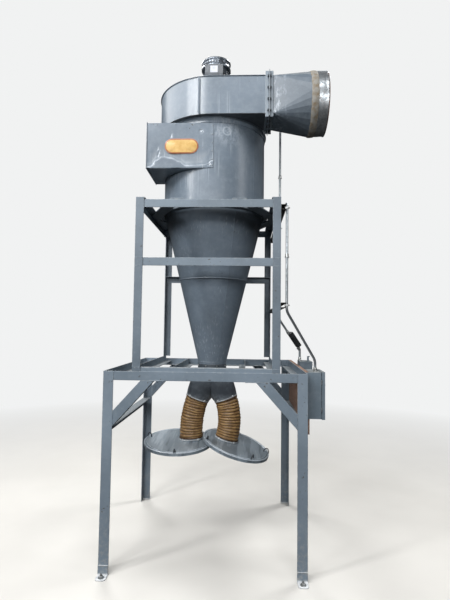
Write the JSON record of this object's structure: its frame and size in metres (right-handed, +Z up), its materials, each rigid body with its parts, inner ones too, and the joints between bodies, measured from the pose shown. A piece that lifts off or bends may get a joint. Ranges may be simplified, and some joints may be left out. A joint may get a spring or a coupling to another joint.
{
  "type": "cyclone dust collector",
  "caption": "Cyclone dust collector on a steel stand, with a top fan and motor, a side inlet, a round outlet and two hoses with drum lids.",
  "frame": {"origin": "floor level, at the centre of the four anchor holes", "axes": "+X to the right and towards the round outlet, +Y away from the viewer, +Z up; -Y is the front with the inlet's long side"},
  "size_m": [1.708, 1.622, 4.271],
  "materials": {
    "frame_paint": "satin",
    "body_paint": "satin",
    "fan_steel": "matte",
    "galvanised": "satin",
    "motor_paint": "satin",
    "cover_metal": "satin",
    "hose_fabric": "matte",
    "board_wood": "matte",
    "box_paint": "satin",
    "fitting_plastic": "matte"
  },
  "bodies": {
    "root": {"leg_front_left": "frame_paint", "leg_front_right": "frame_paint", "leg_rear_left": "frame_paint", "leg_rear_right": "frame_paint", "base_rail_front": "frame_paint", "base_rail_rear": "frame_paint", "base_rail_left": "frame_paint", "base_rail_right": "frame_paint", "front_sill": "frame_paint", "floor_beams": "frame_paint", "knee_braces": "frame_paint", "side_stretchers": "frame_paint", "posts_front": "frame_paint", "posts_rear": "frame_paint", "top_rail_front": "frame_paint", "top_rails_side": "frame_paint", "carrier_beam": "frame_paint", "mid_rails": "frame_paint", "corner_plates": "frame_paint", "support_ring": "frame_paint", "cone": "body_paint", "barrel": "body_paint", "inlet_duct": "body_paint", "vortex_tube": "body_paint", "casing_bottom": "body_paint", "fan_casing": "body_paint", "casing_top": "body_paint", "outlet_flanges": "body_paint", "transition": "body_paint", "branch_pipe": "body_paint", "lid_left": "body_paint", "lid_right": "body_paint", "fan_wheel": "fan_steel", "outlet_collar": "galvanised", "motor": "motor_paint", "motor_cover": "cover_metal", "hose_left": "hose_fabric", "hose_right": "hose_fabric", "mounting_board": "board_wood", "starter_box": "box_paint", "starter_door": "box_paint", "disconnect_switch": "box_paint", "strut_channels": "galvanised", "conduits": "galvanised", "conduit_fitting": "fitting_plastic"}
  },
  "joints": []
}
